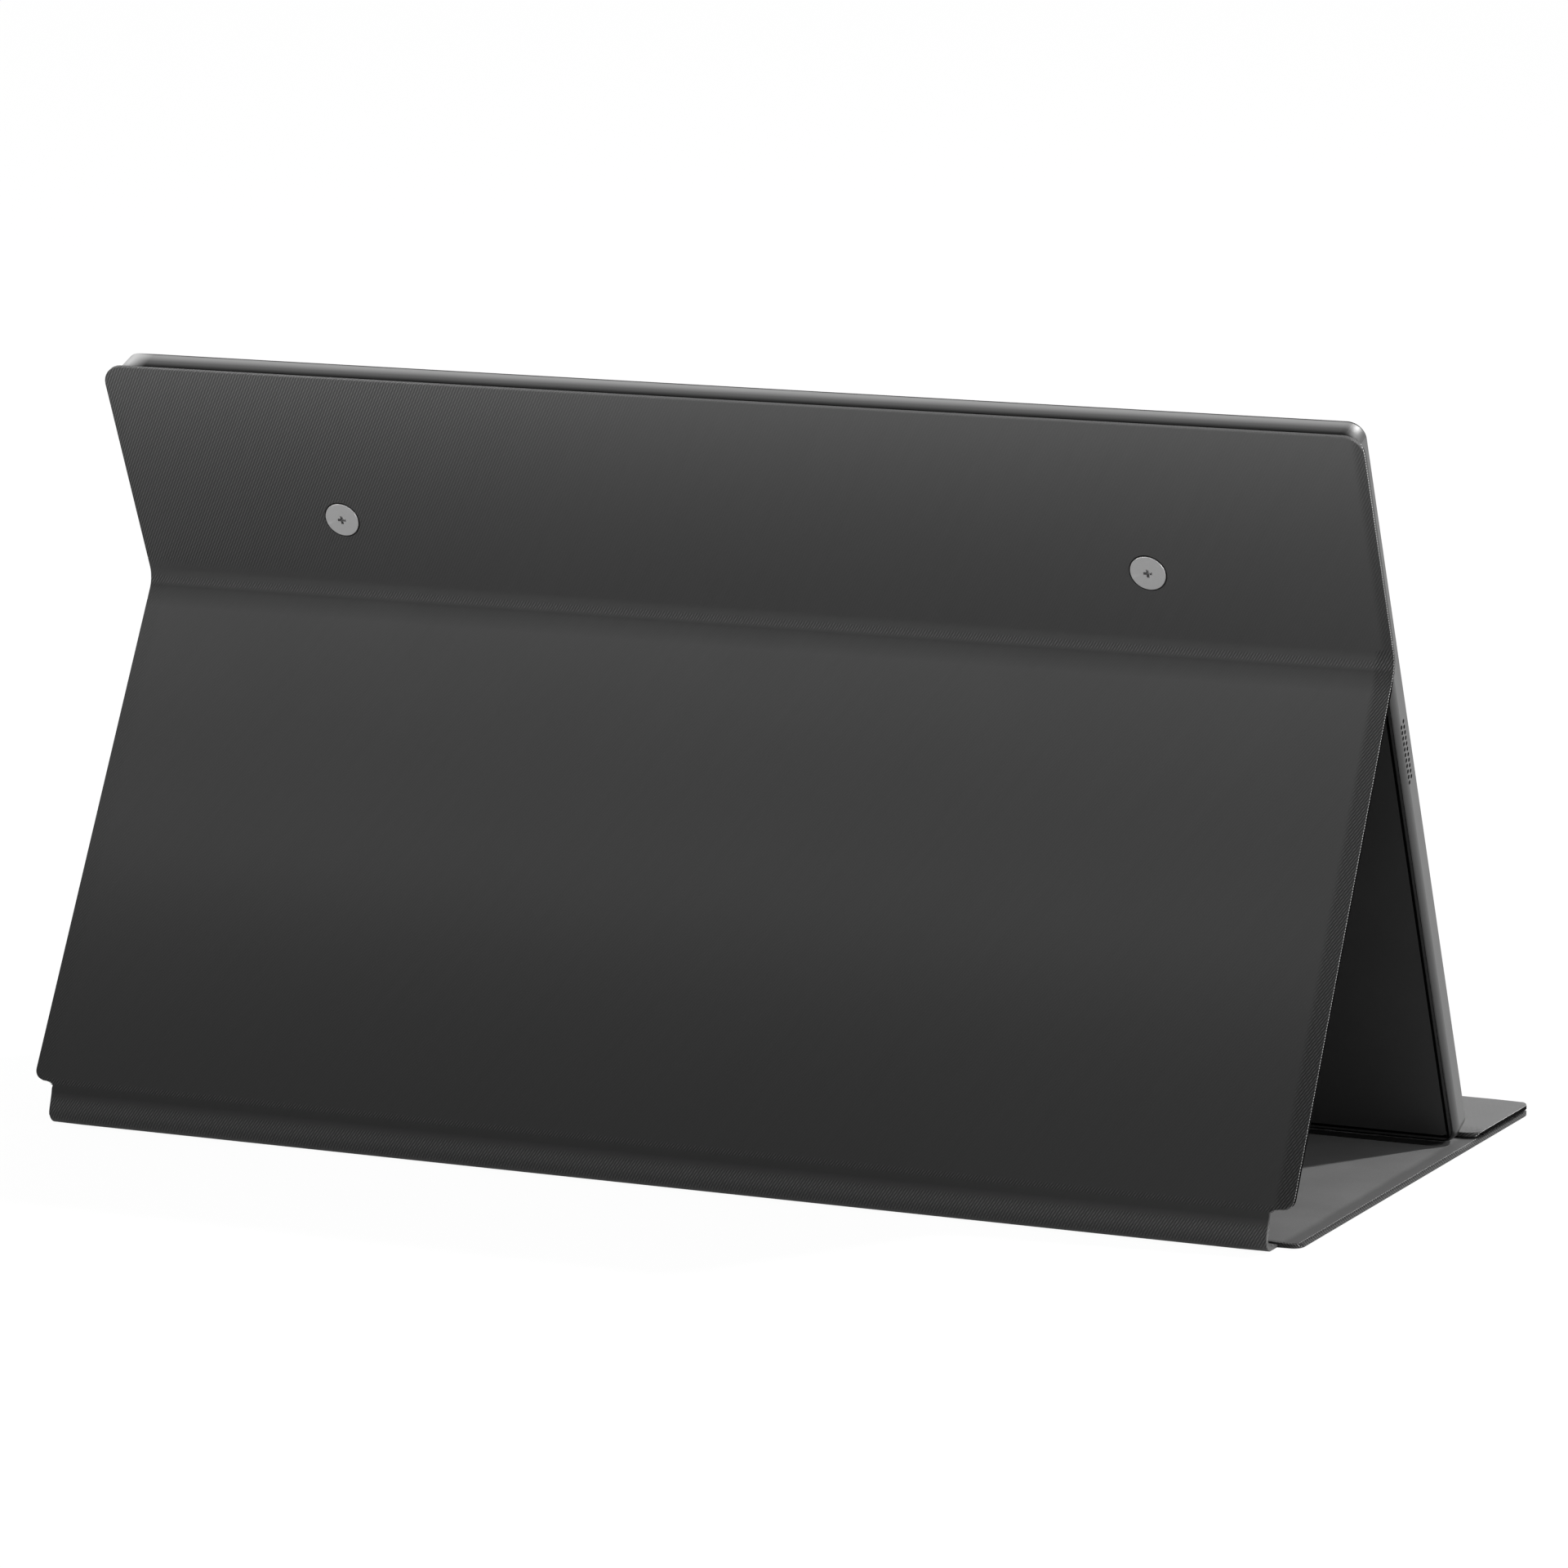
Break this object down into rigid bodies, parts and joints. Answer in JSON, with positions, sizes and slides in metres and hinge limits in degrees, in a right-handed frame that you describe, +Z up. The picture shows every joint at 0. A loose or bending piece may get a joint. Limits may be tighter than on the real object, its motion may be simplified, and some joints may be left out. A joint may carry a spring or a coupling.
{
  "type": "portable monitor with cover",
  "caption": "Slim portable monitor with a satin metal rim, screwed to a woven folding cover whose hinged panels prop it up on a desk.",
  "frame": {"origin": "centre of the footprint, on the floor", "axes": "+X across the width, -Y the way the screen faces, +Z up"},
  "size_m": [0.36, 0.1806, 0.2013],
  "materials": {
    "rim_metal": "fine satin anodised",
    "dark_plate": "matte black",
    "front_glass": "polished, black border",
    "cell": "glossy film",
    "film": "milky film",
    "guide": "clear moulded sheet",
    "led": "white and yellow",
    "steel_sheet": "pressed sheet",
    "board_green": "solder mask",
    "flex": "amber film",
    "chip": "moulded",
    "shield": "tinned",
    "port_steel": "plated",
    "jack_black": "moulded",
    "speaker_black": "moulded",
    "wire": "red insulation",
    "key_metal": "satin",
    "brass": "turned",
    "disc_steel": "satin grey",
    "small_steel": "zinc",
    "twill": "fine diagonal weave",
    "greyboard": "grey fibre board",
    "liner": "smooth brushed lining",
    "grip": "ribbed rubber"
  },
  "bodies": {
    "monitor": {"housing_rim": "rim_metal", "back_plate": "dark_plate", "front_glass": "front_glass", "display_cell": "cell", "diffuser_films": "film", "light_guide": "guide", "led_bar": "led", "chassis_sheet": "steel_sheet", "driver_board": "board_green", "driver_flex": "flex", "main_board": "board_green", "board_chips": "chip", "chip_shield": "shield", "screen_cable": "flex", "usb_port_low": "port_steel", "usb_port_high": "port_steel", "video_port": "port_steel", "headphone_jack": "jack_black", "speaker_left": "speaker_black", "speaker_right": "speaker_black", "speaker_wires": "wire", "button_board": "board_green", "screw_inserts": "brass", "plate_posts": "brass", "board_posts": "brass", "board_screws": "small_steel", "cover_screw_left": "disc_steel", "cover_screw_right": "disc_steel", "upper_twill": "twill", "upper_board": "greyboard", "upper_liner": "liner"},
    "power_key": {"power_button": "key_metal"},
    "menu_key": {"menu_rocker": "key_metal"},
    "prop": {"crease_hinge": "twill", "prop_twill": "twill", "prop_core": "greyboard", "prop_liner": "liner", "prop_hinge": "twill"},
    "spine": {"spine_twill": "twill", "spine_bend": "twill", "spine_liner": "liner"},
    "base": {"base_hinge": "twill", "base_twill": "twill", "base_board": "greyboard", "base_liner": "liner", "grip_strip": "grip", "fold_hinge": "twill"},
    "flap": {"flap_twill": "twill", "flap_board": "greyboard", "flap_liner": "liner"}
  },
  "joints": [
    {"name": "crease_fold", "type": "hinge", "parent": "monitor", "child": "prop", "pos_m": [0, 0.02081, 0.13794], "axis": [1, 0, 0], "range_deg": [-50.9, 0], "deforming": ["crease_hinge"]},
    {"name": "prop_fold", "type": "hinge", "parent": "prop", "child": "spine", "pos_m": [0, 0.08829, 0.0105], "axis": [1, 0, 0], "range_deg": [0, 27.9], "deforming": ["prop_hinge"]},
    {"name": "base_fold", "type": "hinge", "parent": "spine", "child": "base", "pos_m": [0, 0.08355, 0.00075], "axis": [1, 0, 0], "range_deg": [0, 90], "deforming": ["base_hinge"]},
    {"name": "flap_fold", "type": "hinge", "parent": "base", "child": "flap", "pos_m": [0, -0.08872, 0.00158], "axis": [1, 0, 0], "range_deg": [0, 180], "deforming": ["fold_hinge"]},
    {"name": "power_press", "type": "slide", "parent": "monitor", "child": "power_key", "axis": [-1, 0, 0], "range_m": [0, 0.0004], "stiffness_N_per_m": 2000},
    {"name": "menu_tilt", "type": "hinge", "parent": "monitor", "child": "menu_key", "pos_m": [0.175, 0.02332, 0.1572], "axis": [0, -0.9198, 0.3923], "range_deg": [-3, 3], "stiffness_Nm_per_rad": 0.2}
  ],
  "couplings": [
    {"joint": "prop_fold", "follows": "crease_fold", "ratio": -0.5471}
  ]
}
